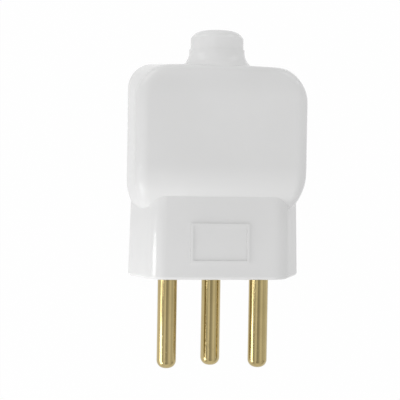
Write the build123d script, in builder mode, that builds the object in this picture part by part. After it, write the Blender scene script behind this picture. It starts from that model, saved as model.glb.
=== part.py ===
from build123d import *
import os
from math import cos, radians, sin, sqrt, tan

# A rewirable three-pin mains plug, lying on its back. Millimetres.
# Origin: centre of the engagement face, on the line of the two outer pins.
# +X right, +Y from the pins to the cord entry, +Z out of the front of the grip.

# Pins
pin_diameter = 4.0
pin_reach = 19.0
pin_spacing = 19.0  # between the axes of the two outer pins
earth_set_back = 3.0  # earth pin behind the line of the outer pins
pin_tip_radius = 1.6
pin_root_diameter = 4.6
collar_diameter = 6.6
collar_thickness = 1.6
terminal_diameter = 5.6
terminal_length = 11.0
wire_hole_diameter = 2.6
wire_hole_depth = 8.0

# Hexagonal nose that enters the socket
nose_width = 35.2
nose_depth = 17.0
nose_bevel = 4.4  # run of each sloping side, from the middle out to a flat
nose_corner_radius = 4.0
nose_edge_radius = 0.7
nose_draft = 1.4
nose_height = 17.1  # engagement face to the ledge under the grip

# Raised plain frame on the front of the nose
frame_width = 11.8
frame_height = 7.9
frame_line = 0.5
frame_relief = 0.25
frame_middle = 7.3  # from the engagement face

# Grip
grip_width = 36.2
grip_bulge = 1.7  # its front stands this far out of the nose
ledge_radius = 10.0
ledge_sweep = 70.0
side_ledge_drop = 1.0  # the ledge runs lower round the sides than across the front
seam_ledge_drop = 2.2  # and lower again at the seam of the shells
shoulder_height = 43.4
shoulder_crown = 0.6
shoulder_radius = 5.0
front_shoulder_radius = 7.6  # the shoulder corners open towards the front
brow_radius = 9.5  # curve that takes the front back towards the shoulders
brow_height = 7.0
brow_sweep = 85.0
front_draft = 6.0
rear_draft = 10.0
front_edge_radius = 2.8
rear_edge_radius = 1.0

# Neck and cord bush
neck_diameter = 11.3
neck_height = 46.3
neck_flare_radius = 3.6
neck_flare_sweep = 48.0
neck_flare_sink = 0.2  # end of the flare below the top of the shoulders
neck_skirt = 1.8  # straight run of the flare, down into the shoulders
bush_diameter = 10.8
bush_height = 50.0
bush_rim_height = 48.5
bush_crown_width = 2.0
bush_crown_lean = 25.0  # lean of the crown where it leaves the rim
bush_spigot_diameter = 9.0
bush_flange_diameter = 10.6
bush_flange_thickness = 1.1
cord_bore_diameter = 6.0
cord_mouth_radius = 0.35

# Walls and clearances
wall = 2.0
face_wall = 3.0
rib_thickness = 1.5
partition_thickness = 1.2
neck_wall = 3.0
boss_wall = 1.3
fit_gap = 0.1
thread_gap = 0.05
seat_gap = 0.02
seam_gap = 0.15

# Cord clamp
clamp_drop = 5.2  # below the inside of the neck wall
clamp_width = 6.0
clamp_thickness = 1.8
clamp_bend_radius = 0.6
clamp_screw_spacing = 15.6
clamp_boss_diameter = 5.4
saddle_width = 9.8
saddle_thickness = 2.4

# Screws
terminal_screw_diameter = 2.5
terminal_screw_length = 4.4
terminal_head_diameter = 4.2
clamp_screw_diameter = 2.5
clamp_screw_length = 6.2
clamp_head_diameter = 4.4
housing_screw_diameter = 2.9
housing_screw_length = 11.6
housing_head_diameter = 5.6
housing_screw_spacing = 24.4
housing_screw_height = 26.0
counterbore_depth = 2.6
head_height = 1.6
head_edge_radius = 0.4
slot_width = 0.7
slot_depth = 0.8

# Alignment tabs on the rear shell
tab_length = 7.0
tab_thickness = 1.2
tab_reach = 1.8
tab_root = 3.0

# Limits that tell the front of the grip from its side walls, by the face's lean
crown_lean = 0.35
wall_lean = 0.3

# Positions worked out from the sizes above
nose_flat = nose_width - 2 * nose_bevel
rear_depth = nose_depth / 2
front_depth = nose_depth / 2 + grip_bulge
front_lean = front_depth * tan(radians(front_draft))
front_ledge_top = nose_height + sqrt(2 * ledge_radius * grip_bulge - grip_bulge**2)
side_ledge_top = front_ledge_top - side_ledge_drop
seam_ledge_top = side_ledge_top - seam_ledge_drop
nose_root = (nose_height + front_ledge_top) / 2
collar_start = face_wall + fit_gap
collar_end = collar_start + collar_thickness
rib_start = collar_end + fit_gap
rib_end = rib_start + rib_thickness
terminal_end = collar_end + terminal_length
terminal_middle = (rib_end + terminal_end) / 2
terminal_screw_height = terminal_end - wire_hole_depth / 2
neck_floor = shoulder_height - neck_wall
flange_start = neck_floor + (neck_wall - bush_flange_thickness) / 2
clamp_height = neck_floor - clamp_drop
tab_height = shoulder_height - shoulder_crown - shoulder_radius - tab_length / 2 - tab_thickness
root_radius = pin_root_diameter / 2
collar_radius = collar_diameter / 2
terminal_radius = terminal_diameter / 2
cord_radius = cord_bore_diameter / 2
housing_pilot_depth = housing_screw_length + counterbore_depth - rear_depth + fit_gap
clamp_pilot_depth = clamp_screw_length - clamp_thickness + fit_gap
pin_places = {
    "left_pin": (-pin_spacing / 2, 0),
    "earth_pin": (0, -earth_set_back),
    "right_pin": (pin_spacing / 2, 0),
}
pin_axes = list(pin_places.values())
clamp_places = [(side * clamp_screw_spacing / 2, clamp_height) for side in (-1, 1)]
housing_places = [(side * housing_screw_spacing / 2, housing_screw_height) for side in (-1, 1)]


def grip_outline(inset, shoulder, ledge_top):
    """Outline of the grip at one depth: straight sides, feet that curve in under it, round shoulders."""
    half = grip_width / 2 - inset
    top = shoulder_height - inset
    corner = top - shoulder_crown
    foot = ledge_radius - inset
    sole = ledge_top - foot
    with BuildSketch() as outline:
        with BuildLine():
            ThreePointArc((half, corner), (0, top), (-half, corner))
            Polyline((-half, corner), (-half, sole), (half, sole), (half, corner))
        make_face()
        fillet(outline.vertices().group_by(Axis.Y)[0], foot)
        fillet(outline.vertices().group_by(Axis.Y)[-1], shoulder)
    return outline.sketch


def front_grip(inset):
    """Front half of the grip, lofted from the seam outline to the front one and cut to its side view."""
    depth = front_depth - inset
    brow_start = shoulder_height - brow_height
    with BuildPart() as grip:
        add(grip_outline(inset, shoulder_radius - inset, seam_ledge_top))
        with BuildSketch(Plane.XY.offset(front_depth)):
            add(grip_outline(inset + front_lean, front_shoulder_radius - inset, side_ledge_top))
        loft(ruled=True)
        with BuildSketch(Plane.YZ.offset(-grip_width)):
            with BuildLine():
                ledge = JernArc((front_ledge_top, depth), (-1, 0), ledge_radius - inset, ledge_sweep)
                brow = JernArc((brow_start, depth), (1, 0), brow_radius - inset, -brow_sweep)
                Line((front_ledge_top, depth), (brow_start, depth))
                Polyline(ledge @ 1, ((ledge @ 1).X, 0), ((brow @ 1).X, 0), brow @ 1)
            make_face()
        extrude(amount=2 * grip_width, mode=Mode.INTERSECT)
    return grip.part


def rear_grip(inset):
    """Rear half of the grip, with a flat back in line with the back of the nose."""
    with BuildPart() as grip:
        add(grip_outline(inset, shoulder_radius - inset, seam_ledge_top))
        extrude(amount=inset - rear_depth)
        draft(grip.faces().filter_by(Plane.XY, reverse=True), Plane.YX, rear_draft)
    return grip.part


def nose_prism(inset, start, end):
    """Drafted hexagon, drawn in by inset, between two heights above the engagement face."""
    with BuildPart() as prism:
        with BuildSketch(Plane.XZ.offset(-start)) as hexagon:
            with BuildLine():
                Polyline(
                    (-nose_width / 2, 0),
                    (-nose_flat / 2, -nose_depth / 2),
                    (nose_flat / 2, -nose_depth / 2),
                    (nose_width / 2, 0),
                    (nose_flat / 2, nose_depth / 2),
                    (-nose_flat / 2, nose_depth / 2),
                    close=True,
                )
            make_face()
            rows = hexagon.vertices().group_by(Axis.Y)
            fillet(rows[0] + rows[-1], nose_corner_radius)
            if inset > 0:
                offset(amount=-inset)
        extrude(amount=start - end)
        draft(prism.faces().filter_by(Plane.XZ, reverse=True), Plane.ZX, nose_draft)
    return prism.part


def pin_bores(radius, start, end):
    """Round bores along the three pins, between two heights above the engagement face."""
    with BuildPart() as bores:
        with BuildSketch(Plane.XZ.offset(-end)):
            with Locations(*pin_axes):
                Circle(radius)
        extrude(amount=end - start)
    return bores.part


def bush_form(gap):
    """Turned outside of the cord bush up to its rim, grown by gap: flange, spigot and head."""
    flange_end = flange_start + bush_flange_thickness + gap
    head_start = max(neck_height, neck_height + seat_gap - gap)
    with BuildPart() as form:
        with BuildSketch():
            with BuildLine():
                Polyline(
                    (0, flange_start - gap),
                    (bush_flange_diameter / 2 + gap, flange_start - gap),
                    (bush_flange_diameter / 2 + gap, flange_end),
                    (bush_spigot_diameter / 2 + gap, flange_end),
                    (bush_spigot_diameter / 2 + gap, head_start),
                    (bush_diameter / 2 + gap, head_start),
                    (bush_diameter / 2 + gap, bush_rim_height),
                    (0, bush_rim_height),
                    close=True,
                )
            make_face()
        revolve(axis=Axis.Y)
    return form.part


def slotted_screw(diameter, length, head_diameter):
    """Cheese-head screw, its head seated on the plane Z = 0 and its shank below."""
    with BuildPart() as screw:
        with BuildSketch():
            Circle(head_diameter / 2)
        extrude(amount=head_height)
        fillet(screw.edges().group_by(Axis.Z)[-1], head_edge_radius)
        with BuildSketch():
            Circle(diameter / 2)
        extrude(amount=-length)
        with BuildSketch(Plane.XY.offset(head_height)):
            Rectangle(2 * head_diameter, slot_width)
        extrude(amount=-slot_depth, mode=Mode.SUBTRACT)
    return screw.part


os.makedirs("parts", exist_ok=True)

# Outside of the nose, with its raised frame
with BuildPart() as nose:
    add(nose_prism(0, 0, nose_root))
    fillet(nose.faces().sort_by(Axis.Y)[0].edges(), nose_edge_radius)
    flat = nose.faces().filter_by(GeomType.PLANE).sort_by(Axis.Z)[-1]
    with BuildSketch(Plane(flat.center(), x_dir=(1, 0, 0), z_dir=flat.normal_at())):
        with Locations((0, frame_middle - flat.center().Y)):
            Rectangle(frame_width, frame_height)
            Rectangle(frame_width - 2 * frame_line, frame_height - 2 * frame_line, mode=Mode.SUBTRACT)
    extrude(amount=frame_relief)

# Neck, flaring onto the shoulders
with BuildPart() as neck:
    with BuildSketch():
        with BuildLine():
            flare_foot = shoulder_height - neck_flare_sink
            flare_top = flare_foot + neck_flare_radius * sin(radians(neck_flare_sweep))
            flare = JernArc((neck_diameter / 2, flare_top), (0, -1), neck_flare_radius, neck_flare_sweep)
            skirt_end = flare @ 1 + neck_skirt * (flare % 1)
            Polyline(
                flare @ 1,
                skirt_end,
                (skirt_end.X, neck_floor),
                (0, neck_floor),
                (0, neck_height),
                (neck_diameter / 2, neck_height),
                flare @ 0,
            )
        make_face()
    revolve(axis=Axis.Y)

# Ring of wall inside the shoulders that the cord bush is held in
with BuildPart() as neck_ring:
    with BuildSketch(Plane.XZ.offset(-neck_floor)):
        Circle(bush_flange_diameter / 2 + fit_gap + boss_wall)
    extrude(amount=-neck_wall / 2)

# Spaces in the nose, on both sides of the rib that the terminals lie in
collar_pocket = nose_prism(wall, face_wall, rib_start)
terminal_chamber = nose_prism(wall, rib_end, nose_root)

# Places of the pieces that both shells are cut for
root_bores = pin_bores(root_radius + fit_gap, 0, face_wall)
collar_bores = pin_bores(collar_radius + fit_gap, face_wall, rib_start)
terminal_bores = pin_bores(terminal_radius + fit_gap, rib_start, terminal_end + fit_gap)
bush_seat = bush_form(fit_gap)

# Front shell
with BuildPart() as front_shell:
    add(front_grip(0))
    crown_edges = front_shell.faces().filter_by(lambda face: face.normal_at().Z > crown_lean).edges()
    wall_edges = front_shell.faces().filter_by(lambda face: abs(face.normal_at().Z) < wall_lean).edges()
    toe_height = front_shell.part.bounding_box().min.Y
    rim = [edge for edge in crown_edges if edge in wall_edges]
    fillet([edge for edge in rim if edge.center().Y > toe_height + fit_gap], front_edge_radius)
    add([nose.part, neck.part])
    add([front_grip(wall), collar_pocket, terminal_chamber], mode=Mode.SUBTRACT)
    add(neck_ring.part)
    with BuildSketch():
        with Locations(*housing_places):
            Circle(housing_screw_diameter / 2 + thread_gap + boss_wall)
    extrude(amount=front_depth - wall / 2)
    split(bisect_by=Plane.XY, keep=Keep.TOP)
    with BuildSketch(Plane.XZ):
        Rectangle(pin_root_diameter, earth_set_back - root_radius / 2, align=(Align.CENTER, Align.MAX))
        Rectangle(pin_root_diameter, wall, align=(Align.CENTER, Align.MIN))
    extrude(amount=-face_wall)
    add([root_bores, collar_bores, terminal_bores, bush_seat], mode=Mode.SUBTRACT)
    with BuildSketch():
        with Locations(*housing_places):
            Circle(housing_screw_diameter / 2 + thread_gap)
    extrude(amount=housing_pilot_depth, mode=Mode.SUBTRACT)
front_shell.part.label = "front_shell"
export_step(front_shell.part, "parts/front_shell.step")

# Rear shell, which carries the pins, the cord clamp and the heads of the housing screws
with BuildPart() as rear_shell:
    add(rear_grip(0))
    fillet(rear_shell.faces().sort_by(Axis.Z)[0].edges(), rear_edge_radius)
    add([nose.part, neck.part])
    add([rear_grip(wall), collar_pocket, terminal_chamber], mode=Mode.SUBTRACT)
    add(neck_ring.part)
    split(bisect_by=Plane.XY.offset(-seam_gap), keep=Keep.BOTTOM)
    with BuildSketch(Plane.XY.offset(-rear_depth + wall / 2)):
        with Locations(*housing_places):
            Circle(housing_head_diameter / 2 + fit_gap + boss_wall)
        with Locations(*clamp_places):
            Circle(clamp_boss_diameter / 2)
    extrude(amount=rear_depth - wall / 2)
    with BuildSketch(Plane.XY.offset(-rear_depth + wall / 2)):
        with Locations((0, clamp_height)):
            Rectangle(saddle_width, saddle_thickness)
        with Locations((-pin_spacing / 4, terminal_middle), (pin_spacing / 4, terminal_middle)):
            Rectangle(partition_thickness, terminal_end - rib_end + wall)
    extrude(amount=rear_depth - wall / 2 - seam_gap)
    tab_lean = (tab_reach + seam_gap) * tan(radians(front_draft))
    tab_place = grip_width / 2 - wall - fit_gap - tab_lean - tab_thickness / 2
    tab_foot = tab_place + wall / 4
    with BuildSketch(Plane.XY.offset(-tab_root)):
        with Locations((-tab_foot, tab_height), (tab_foot, tab_height)):
            Rectangle(tab_thickness + wall / 2, tab_length)
    extrude(amount=tab_root - seam_gap)
    with BuildSketch(Plane.XY.offset(-tab_root)):
        with Locations((-tab_place, tab_height), (tab_place, tab_height)):
            Rectangle(tab_thickness, tab_length)
    extrude(amount=tab_root + tab_reach)
    with BuildSketch(Plane.XZ):
        Rectangle(pin_root_diameter + 2 * fit_gap, earth_set_back, align=(Align.CENTER, Align.MAX))
    extrude(amount=-face_wall, mode=Mode.SUBTRACT)
    with BuildSketch(Plane.XZ.offset(-rib_start)):
        Rectangle(terminal_diameter + 2 * fit_gap, earth_set_back, align=(Align.CENTER, Align.MAX))
    extrude(amount=-rib_thickness, mode=Mode.SUBTRACT)
    add([root_bores, collar_bores, terminal_bores, bush_seat], mode=Mode.SUBTRACT)
    with BuildSketch(Plane.XZ.offset(saddle_thickness - clamp_height)):
        Circle(cord_radius)
    extrude(amount=-2 * saddle_thickness, mode=Mode.SUBTRACT)
    with Locations(*[Location((x, y, -rear_depth), (180, 0, 0)) for x, y in housing_places]):
        CounterBoreHole(
            radius=housing_screw_diameter / 2 + fit_gap,
            counter_bore_radius=housing_head_diameter / 2 + fit_gap,
            counter_bore_depth=counterbore_depth,
            depth=2 * rear_depth,
        )
    with BuildSketch():
        with Locations(*clamp_places):
            Circle(clamp_screw_diameter / 2 + thread_gap)
    extrude(amount=-clamp_pilot_depth, mode=Mode.SUBTRACT)
rear_shell.part.label = "rear_shell"
export_step(rear_shell.part, "parts/rear_shell.step")

# Cord bush, held by its flange between the two shells
with BuildPart() as cord_bush:
    add(bush_form(0))
    with BuildSketch():
        with BuildLine():
            rim_point = (bush_diameter / 2, bush_rim_height)
            crown_point = (bush_diameter / 2 - bush_crown_width, bush_height)
            lean = radians(bush_crown_lean)
            TangentArc(rim_point, crown_point, tangent=(-sin(lean), cos(lean)))
            Polyline(crown_point, (0, bush_height), (0, bush_rim_height), rim_point)
        make_face()
    revolve(axis=Axis.Y)
    with BuildSketch(Plane.XZ.offset(-bush_height)):
        Circle(cord_radius)
    extrude(amount=bush_height, mode=Mode.SUBTRACT)
    mouth = cord_bush.faces().sort_by(Axis.Y)[-1].edges().sort_by(SortBy.RADIUS)[0]
    fillet(mouth, cord_mouth_radius)
cord_bush.part.label = "cord_bush"
export_step(cord_bush.part, "parts/cord_bush.step")

# Pins: rounded tip, root through the face wall, trapped collar and a pillar terminal
for pin_name, (pin_x, pin_z) in pin_places.items():
    with BuildPart() as pin:
        with BuildSketch(Plane((pin_x, 0, pin_z))) as profile:
            with BuildLine():
                Polyline(
                    (0, -pin_reach),
                    (pin_diameter / 2, -pin_reach),
                    (pin_diameter / 2, 0),
                    (root_radius, 0),
                    (root_radius, collar_start),
                    (collar_radius, collar_start),
                    (collar_radius, collar_end),
                    (terminal_radius, collar_end),
                    (terminal_radius, terminal_end),
                    (wire_hole_diameter / 2, terminal_end),
                    (wire_hole_diameter / 2, terminal_end - wire_hole_depth),
                    (0, terminal_end - wire_hole_depth),
                    close=True,
                )
            make_face()
            fillet(profile.vertices().group_by(Axis.Y)[0].sort_by(Axis.X)[-1], pin_tip_radius)
        revolve(axis=Axis((pin_x, 0, pin_z), (0, 1, 0)))
        with BuildSketch(Plane((pin_x, terminal_screw_height, pin_z - wire_hole_diameter / 2))):
            Circle(terminal_screw_diameter / 2 + thread_gap)
        extrude(amount=terminal_diameter, mode=Mode.SUBTRACT)
    pin.part.label = pin_name
    export_step(pin.part, f"parts/{pin_name}.step")

# Terminal screws, run down to the far wall of the wire holes
with BuildPart() as terminal_screws:
    screw_seat = terminal_screw_length + fit_gap - wire_hole_diameter / 2
    with Locations(*[(x, terminal_screw_height, z + screw_seat) for x, z in pin_axes]):
        add(slotted_screw(terminal_screw_diameter, terminal_screw_length, terminal_head_diameter))
terminal_screws.part.label = "terminal_screws"
export_step(terminal_screws.part, "parts/terminal_screws.step")

# Cord clamp, a bridge over the cord with a screwed-down foot on each side
bridge_length = clamp_screw_spacing + clamp_boss_diameter
with BuildPart() as cord_clamp:
    with BuildSketch(Plane.XZ.offset(clamp_width / 2 - clamp_height)) as bridge:
        Circle(cord_radius + clamp_thickness)
        Rectangle(bridge_length, clamp_thickness, align=(Align.CENTER, Align.MIN))
        bends = bridge.vertices().group_by(Axis.Y)[-1]
        fillet(bends, clamp_bend_radius)
        Circle(cord_radius, mode=Mode.SUBTRACT)
        Rectangle(clamp_screw_spacing, front_depth, align=(Align.CENTER, Align.MAX), mode=Mode.SUBTRACT)
    extrude(amount=-clamp_width)
    with BuildSketch():
        with Locations(*clamp_places):
            Circle(clamp_screw_diameter / 2 + fit_gap)
    extrude(amount=clamp_thickness, mode=Mode.SUBTRACT)
cord_clamp.part.label = "cord_clamp"
export_step(cord_clamp.part, "parts/cord_clamp.step")

# Screws of the cord clamp
with BuildPart() as cord_clamp_screws:
    with Locations(*[(x, y, clamp_thickness) for x, y in clamp_places]):
        add(slotted_screw(clamp_screw_diameter, clamp_screw_length, clamp_head_diameter))
cord_clamp_screws.part.label = "cord_clamp_screws"
export_step(cord_clamp_screws.part, "parts/cord_clamp_screws.step")

# Screws that close the two shells, sunk into the back
seat_height = counterbore_depth - rear_depth
with BuildPart() as housing_screws:
    with Locations(*[Location((x, y, seat_height), (180, 0, 0)) for x, y in housing_places]):
        add(slotted_screw(housing_screw_diameter, housing_screw_length, housing_head_diameter))
housing_screws.part.label = "housing_screws"
export_step(housing_screws.part, "parts/housing_screws.step")
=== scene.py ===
# %% [markdown]
# # A white three-pin plug, dressed on its engineering model
# The shapes of this plug were drawn in CAD: two moulded shells, a cord bush, three brass pins and
# the screws inside. In this lesson Blender adds what CAD doesn't know: a camera, light, and the
# look of the plastic and the metal. The packed model comes in as a fixed frame, in metres, so
# nothing here has to be scaled or fitted.

# %% Load the packed plug
import bpy
from math import pi, radians
from mathutils import Matrix, Vector


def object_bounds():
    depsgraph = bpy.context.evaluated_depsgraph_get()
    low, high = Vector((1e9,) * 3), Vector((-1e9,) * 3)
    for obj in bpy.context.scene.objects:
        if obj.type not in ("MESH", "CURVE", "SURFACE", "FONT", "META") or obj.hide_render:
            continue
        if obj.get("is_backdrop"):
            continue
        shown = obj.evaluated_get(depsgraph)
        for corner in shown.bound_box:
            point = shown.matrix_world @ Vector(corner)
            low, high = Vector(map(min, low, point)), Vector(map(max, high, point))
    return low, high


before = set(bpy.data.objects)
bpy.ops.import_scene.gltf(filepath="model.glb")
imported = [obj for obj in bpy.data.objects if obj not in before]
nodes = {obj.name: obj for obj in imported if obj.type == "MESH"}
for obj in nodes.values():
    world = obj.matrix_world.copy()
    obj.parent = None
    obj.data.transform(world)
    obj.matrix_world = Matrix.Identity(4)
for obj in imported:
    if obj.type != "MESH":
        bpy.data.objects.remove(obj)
cad_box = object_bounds()
MM = 0.001  # a millimetre in Blender's metres


def in_mm(point):
    """A point's coordinates in millimetres, rounded for printing."""
    return [round(v / MM, 2) for v in point]


print("pieces:", sorted(nodes))
print("CAD box in mm:", [in_mm(corner) for corner in cad_box])

# %% [markdown]
# ## The camera
# The photograph looks almost straight down on the plug as it lies on its back, from a little to
# its left. A camera can be aimed by eye, but here its place is a distance and three small turns
# about a target, so each number can be checked against the picture: the turns bring the plug's
# own axes onto the picture's axes.

# %% Place the camera
PICTURE = 400  # pixels along each side
FOCAL = 1000  # focal length in pixels
SENSOR = 36  # the sensor's width in mm
TARGET = Vector((-3.02, 15.58, 0)) * MM
DISTANCE = 205.4 * MM
SIDEWAYS, UPWARD, ROLL = radians(8.0), radians(1.9), radians(-0.65)

tilt = Matrix.Rotation(-UPWARD, 4, "X") @ Matrix.Rotation(-SIDEWAYS, 4, "Y")
aim = Matrix.Rotation(-ROLL, 4, "Z") @ tilt
lens = bpy.data.cameras.new("photo_camera")
lens.sensor_width = SENSOR
lens.lens = SENSOR * FOCAL / PICTURE
lens.clip_start = 10 * MM
camera = bpy.data.objects.new("photo_camera", lens)
camera.matrix_world = Matrix.Translation(TARGET) @ aim @ Matrix.Translation((0, 0, DISTANCE))
bpy.context.scene.collection.objects.link(camera)
bpy.context.scene.camera = camera
bpy.context.scene.view_settings.view_transform = "Standard"
print("camera at", in_mm(camera.matrix_world.translation), "mm, lens", lens.lens, "mm")

# %% [markdown]
# ## Shader maths in plain Python
# A material in Blender is a graph of nodes, and a formula such as `1 - mask * 0.3` takes a node
# for each sign. Drawn by hand, the formula is soon lost, so a small class wraps a socket and lets
# Python's own signs add the nodes. Every other node comes from one method, which sets the node's
# settings first and then its inputs.

# %% A socket that can be calculated with


class Wire:
    """One output socket in a node tree; arithmetic on it adds Math nodes to that tree."""

    def __init__(self, tree, socket):
        self.tree, self.socket = tree, socket

    def node(self, kind, settings=None, inputs=None, output=0):
        """Adds a node: its settings first, then values or wires for inputs; returns an output."""
        made = self.tree.nodes.new(kind)
        for name, value in (settings or {}).items():
            setattr(made, name, value)
        for name, value in (inputs or {}).items():
            if isinstance(value, Wire):
                self.tree.links.new(value.socket, made.inputs[name])
            else:
                made.inputs[name].default_value = value
        return Wire(self.tree, made.outputs[output]) if made.outputs else None

    def maths(self, operation, *values):
        """A Math node of that operation on the values, in their order."""
        return self.node("ShaderNodeMath", {"operation": operation}, dict(enumerate(values)))

    def __add__(self, other):
        return self.maths("ADD", self, other)

    def __sub__(self, other):
        return self.maths("SUBTRACT", self, other)

    def __rsub__(self, other):
        return self.maths("SUBTRACT", other, self)

    def __mul__(self, other):
        return self.maths("MULTIPLY", self, other)

    __radd__ = __add__
    __rmul__ = __mul__

    def step(self, low, high):
        """A smooth step: 0 below low, 1 above high."""
        settings = {"interpolation_type": "SMOOTHSTEP"}
        ends = {"From Min": low, "From Max": high}
        return self.node("ShaderNodeMapRange", settings, {"Value": self, **ends})

    def axis(self, name):
        """One coordinate of a vector wire: X, Y or Z."""
        return self.node("ShaderNodeSeparateXYZ", inputs={"Vector": self}, output=name)

    def noise(self, size, detail=2.0, stretch=(1, 1, 1)):
        """Soft noise around 0.5 over a place, in lumps of a size in metres, longer by stretch."""
        scale = {"Scale": tuple(1 / s for s in stretch)}
        place = self.node("ShaderNodeMapping", inputs={"Vector": self, **scale})
        lumps = {"Scale": 1 / size, "Detail": detail}
        return self.node("ShaderNodeTexNoise", inputs={"Vector": place, **lumps})

    def tint(self, first, second):
        """A colour that goes from first to second as this value goes from 0 to 1."""
        ends = {6: (*first, 1), 7: (*second, 1)}
        return self.node("ShaderNodeMix", {"data_type": "RGBA"}, {0: self, **ends}, output=2)

    def bumps(self, depth):
        """A normal that shows this value as a height of depth in metres."""
        return self.node("ShaderNodeBump", inputs={"Height": self, "Distance": depth})


def clear_tree(owner, kind, output):
    """Empties the owner's node tree, adds one node, and returns an output of it as a wire."""
    owner.use_nodes = True
    owner.node_tree.nodes.clear()
    return Wire(owner.node_tree, owner.node_tree.nodes.new(kind).outputs[output])


print("shader maths ready:", [name for name in vars(Wire) if not name.startswith("__")])

# %% [markdown]
# ## The floor
# The photograph has a plain white ground. A floor that is only lit would come out pale grey, and
# turning up the lamps would burn out the white plastic. So nearly all that the camera sees of the
# floor is white of its own, strength 1, and the rest is an ordinary matt floor that still takes
# the plug's soft shadow. Rays that bounce off shiny metal see the same white, so the pins reflect
# the ground that the picture shows.

# %% Make the floor
FLOOR_REACH = 3.0  # metres from the plug to the floor's edge
FLOOR_GAP = 0.02 * MM  # below the plug's back, so that the two faces don't flicker
FLOOR_GLOW = 0.99  # share of the floor that is white by itself
FLOOR_GREY = (0.4, 0.4, 0.4, 1)

floor_height = cad_box[0][2] - FLOOR_GAP
floor_mesh = bpy.data.meshes.new("floor")
corners = [
    (x * FLOOR_REACH, y * FLOOR_REACH, floor_height)
    for x, y in ((-1, -1), (1, -1), (1, 1), (-1, 1))
]
floor_mesh.from_pydata(corners, [], [(0, 1, 2, 3)])
floor = bpy.data.objects.new("floor", floor_mesh)
bpy.context.scene.collection.objects.link(floor)
floor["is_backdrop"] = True

floor_white = bpy.data.materials.new("floor_white")
seen = clear_tree(floor_white, "ShaderNodeLightPath", "Is Camera Ray")
ray_kinds = seen.socket.node.outputs
for kind in ("Is Glossy Ray", "Is Transmission Ray"):
    seen = seen + Wire(seen.tree, ray_kinds[kind])
matt = seen.node("ShaderNodeBsdfDiffuse", inputs={"Color": FLOOR_GREY})
glow = seen.node("ShaderNodeEmission", inputs={"Color": (1, 1, 1, 1), "Strength": 1.0})
ground = seen.node("ShaderNodeMixShader", inputs={0: seen * FLOOR_GLOW, 1: matt, 2: glow})
seen.node("ShaderNodeOutputMaterial", inputs={"Surface": ground})
floor_mesh.materials.append(floor_white)
print("floor at", round(floor_height / MM, 2), "mm")

# %% [markdown]
# ## Soft studio light
# White plastic on a white ground is photographed in a light tent: cloth walls that glow evenly,
# so that the form is read from soft steps of grey. The world is that tent, as a formula of
# direction. Each wall has its own brightness and fades into the next one by the square of the
# direction's part along its axis: the three squares always add up to 1.
# Round metal shows the tent itself, so the tent has what a real one has: a slit above the plug for
# the lens, which is the dark line down each pin, a fold in the left wall, and a white card at the
# right. Each of them is a product of smooth steps, whose limits are parts of a direction of
# length 1: -1 is straight left, towards the pins or down, and 1 is right, towards the neck or up.

# %% Hang the light tent
WALLS = {"left": 0.20, "right": 0.38, "head": 0.42, "pins": 1.00, "roof": 1.325}  # brightness
CARD = 0.40  # more light from the card
SLIT, FOLD = 0.62, 0.15  # how much darker the slit for the lens and the fold are

world = bpy.data.worlds.new("tent")
bpy.context.scene.world = world
direction = clear_tree(world, "ShaderNodeTexCoord", "Generated")
across, along, upward = (direction.axis(name) for name in "XYZ")


def facing(coordinate, sign):
    """The square of a direction's part along one half axis: 1 straight at that wall, 0 behind."""
    ahead = coordinate.maths("MAXIMUM", sign * coordinate, 0.0)
    return ahead * ahead


def band(coordinate, low, high, soft):
    """1 between low and high, fading to 0 over soft beyond each of them."""
    return coordinate.step(low - soft, low) * (1 - coordinate.step(high, high + soft))


slit = across.step(-0.37, -0.29) * (1 - across.step(0.0, 0.6)) * upward.step(0.5, 0.7)
fold = band(across, -0.90, -0.70, 0.08) * upward.step(0.2, 0.3) * (1 - along.step(-0.10, -0.05))
card = across.step(0.55, 0.85) * band(along, -0.24, 0.20, 0.06) * (1 - upward.step(0.3, 0.6))
sides = WALLS["left"] * facing(across, -1.0) + WALLS["right"] * facing(across, 1.0)
ends = WALLS["head"] * facing(along, 1.0) + WALLS["pins"] * facing(along, -1.0)
cloth = sides + ends + WALLS["roof"] * facing(upward, 1.0)
walls = cloth * (1 - SLIT * slit) * (1 - FOLD * fold)
tent = walls.node("ShaderNodeBackground", inputs={"Color": walls + CARD * card, "Strength": 1.0})
walls.node("ShaderNodeOutputWorld", inputs={"Surface": tent})
print("light tent with", len(world.node_tree.nodes), "nodes")

# %% [markdown]
# ## Lamps beside the tent
# A tent alone leaves plastic dull, because nothing in it is bright enough to gleam. A tall, narrow
# window at the left is the sharp gleam on the corner of the nose. A low one is the bright line
# down the left of the outer pins: round metal squeezes the whole room into four millimetres, so a
# window becomes a line. Three small lamps, close to the plug, lift the left of the nose and both
# sides of the neck; light from so near fades before it reaches the rest.
# A lamp's power is worked out from the brightness that it should give a white card, so moving it
# keeps its strength.

# %% Set up the lamps
plug_middle = (Vector(cad_box[0]) + Vector(cad_box[1])) / 2


def soft_lamp(name, heading, away, size, level):
    """A lamp of a width and height, away metres off along heading; lights a white card to level."""
    data = bpy.data.lights.new(name, "AREA")
    data.shape = "RECTANGLE"
    data.size, data.size_y = size
    data.energy = level * pi**2 * away**2
    lamp = bpy.data.objects.new(name, data)
    place = plug_middle + Vector(heading).normalized() * away
    turn = Vector(heading).to_track_quat("Z", "Y").to_matrix().to_4x4()
    lamp.matrix_world = Matrix.Translation(place) @ turn
    bpy.context.scene.collection.objects.link(lamp)
    print(name, "at", in_mm(place), "mm,", round(data.energy, 3), "W")


soft_lamp("corner_window", (-0.90, -0.064, 0.44), away=0.7, size=(0.024, 0.28), level=0.110)
soft_lamp("pin_window", (-0.98, -0.155, 0.14), away=0.7, size=(0.063, 0.20), level=0.028)
soft_lamp("nose_lamp", (-0.755, -0.630, 0.180), away=0.085, size=(0.045, 0.030), level=0.235)
soft_lamp("neck_lamp", (-0.526, 0.844, 0.111), away=0.0646, size=(0.030, 0.020), level=0.096)
soft_lamp("head_lamp", (0.55, 0.82, 0.13), away=0.10, size=(0.05, 0.03), level=0.086)

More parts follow.
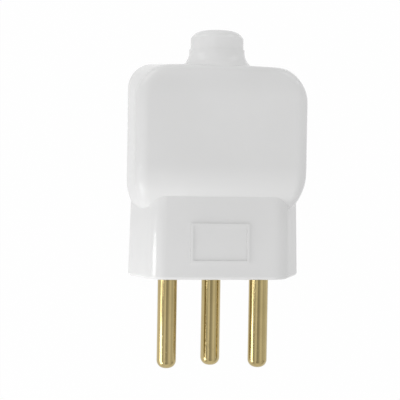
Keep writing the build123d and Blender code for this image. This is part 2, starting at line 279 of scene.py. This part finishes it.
# %% [markdown]
# ## Moulded white plastic
# The shells are injection moulded in a polished steel mould, which leaves a glossy skin that is
# never quite flat: the plastic shrinks as it cools, in faint waves a few millimetres long, and
# handling dulls the gloss in patches. The colour drifts a little where the plastic flowed. An even
# white would look like paper.
# Waves and grain are far shallower than a pixel, so they go into the bump and the roughness
# rather than into shape.

# %% Paint the housing
FLOW, WAVE, PATCH = 14 * MM, 3 * MM, 5 * MM  # size of colour drifts, waves and dulled patches
WAVE_HEIGHT = 6  # times the depth of the grain


def plastic(name, pale, shade, grain, depth, gloss):
    """A moulded plastic: two close colours, a fine grain of a size and depth, a range of gloss."""
    paint = bpy.data.materials.new(name)
    place = clear_tree(paint, "ShaderNodeTexCoord", "Object")
    drift = place.noise(FLOW, 3.0).step(0.3, 0.7)
    skin = place.noise(grain, 3.0)
    waves = place.noise(WAVE, 1.0)
    worn = place.noise(PATCH, 4.0).step(0.35, 0.75)
    shader = place.node("ShaderNodeBsdfPrincipled", inputs={
        "Base Color": drift.tint(pale, shade),
        "Roughness": gloss[0] + (gloss[1] - gloss[0]) * (0.6 * worn + 0.4 * skin),
        "Normal": (skin + WAVE_HEIGHT * waves).bumps(depth),
        "IOR": 1.53,
        "Specular IOR Level": 0.2,
    })
    place.node("ShaderNodeOutputMaterial", inputs={"Surface": shader})
    print(name, "with", len(paint.node_tree.nodes), "nodes")
    return paint


def dress(paint, *names):
    """Gives a material to CAD nodes by name."""
    for name in names:
        nodes[name].data.materials.clear()
        nodes[name].data.materials.append(paint)


housing_white = plastic(
    "housing_white", pale=(0.872, 0.872, 0.870), shade=(0.850, 0.850, 0.847),
    grain=0.25 * MM, depth=0.0006 * MM, gloss=(0.09, 0.16),
)
dress(housing_white, "front_shell", "rear_shell")

# %% [markdown]
# ## The cord bush and the clamp
# The bush is a separate small moulding, smoother than the shells because it is polished to let a
# cord slide through. The clamp never shows, so it is plain off-white plastic with a coarser,
# duller grain.

# %% Paint the bush and the clamp
bush_white = plastic(
    "bush_white", pale=(0.882, 0.882, 0.880), shade=(0.862, 0.862, 0.858),
    grain=0.3 * MM, depth=0.0005 * MM, gloss=(0.09, 0.15),
)
dress(bush_white, "cord_bush")
clamp_white = plastic(
    "clamp_white", pale=(0.83, 0.825, 0.80), shade=(0.79, 0.785, 0.76),
    grain=0.35 * MM, depth=0.004 * MM, gloss=(0.45, 0.60),
)
dress(clamp_white, "cord_clamp")

# %% [markdown]
# ## Brass pins
# The pins are turned from drawn brass rod. Drawing leaves fine lines along the rod, use leaves
# small rubbed and dulled spots towards the tips, and the bare metal goes a shade browner where
# fingers touch it. The lines are noise stretched along the pin.

# %% Paint the pins
RUBBED_FROM, RUBBED_FULLY = -7 * MM, -13 * MM  # where the spots begin, and where they are thickest

brass = bpy.data.materials.new("pin_brass")
place = clear_tree(brass, "ShaderNodeTexCoord", "Object")
drawn = place.noise(0.16 * MM, 2.0, stretch=(1, 40, 1))
used = 1 - place.axis("Y").step(RUBBED_FULLY, RUBBED_FROM)
specks = used * place.noise(0.45 * MM, 3.0, stretch=(1, 2.2, 1)).step(0.56, 0.70)
tarnish = place.noise(4 * MM, 4.0, stretch=(1, 2, 1)).step(0.35, 0.75)
shader = place.node("ShaderNodeBsdfPrincipled", inputs={
    "Base Color": tarnish.tint((0.505, 0.407, 0.200), (0.445, 0.356, 0.170)),
    "Metallic": 1.0,
    "Roughness": 0.11 + 0.04 * drawn + 0.14 * specks + 0.04 * tarnish,
    "Normal": (drawn + 4 * specks).bumps(0.0005 * MM),
})
place.node("ShaderNodeOutputMaterial", inputs={"Surface": shader})
dress(brass, "left_pin", "earth_pin", "right_pin")
print("pin_brass with", len(brass.node_tree.nodes), "nodes")

# %% [markdown]
# ## Zinc-plated screws
# The screws are plated steel: grey, a little blue, with a fine crystalline mottle from the plating
# bath. Only the two heads sunk in the back are ever seen.

# %% Paint the screws
zinc = bpy.data.materials.new("screw_zinc")
place = clear_tree(zinc, "ShaderNodeTexCoord", "Object")
crystals = place.noise(0.35 * MM, 3.0)
clouds = place.noise(1.6 * MM, 3.0).step(0.3, 0.7)
shader = place.node("ShaderNodeBsdfPrincipled", inputs={
    "Base Color": clouds.tint((0.66, 0.67, 0.68), (0.55, 0.56, 0.57)),
    "Metallic": 1.0,
    "Roughness": 0.24 + 0.18 * crystals,
    "Normal": crystals.bumps(0.006 * MM),
})
place.node("ShaderNodeOutputMaterial", inputs={"Surface": shader})
dress(zinc, "terminal_screws", "cord_clamp_screws", "housing_screws")
print("screw_zinc with", len(zinc.node_tree.nodes), "nodes")

# %% [markdown]
# ## Print the size
# The looks must not change the plug's size, so the box of what is shown is kept beside the box of
# the CAD model.

# %% Print the sizes and finish
seen_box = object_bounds()
sizes = {"cad": [list(corner) for corner in cad_box], "visual": [list(corner) for corner in seen_box]}
print("sizes in mm:", {key: [in_mm(corner) for corner in box] for key, box in sizes.items()})
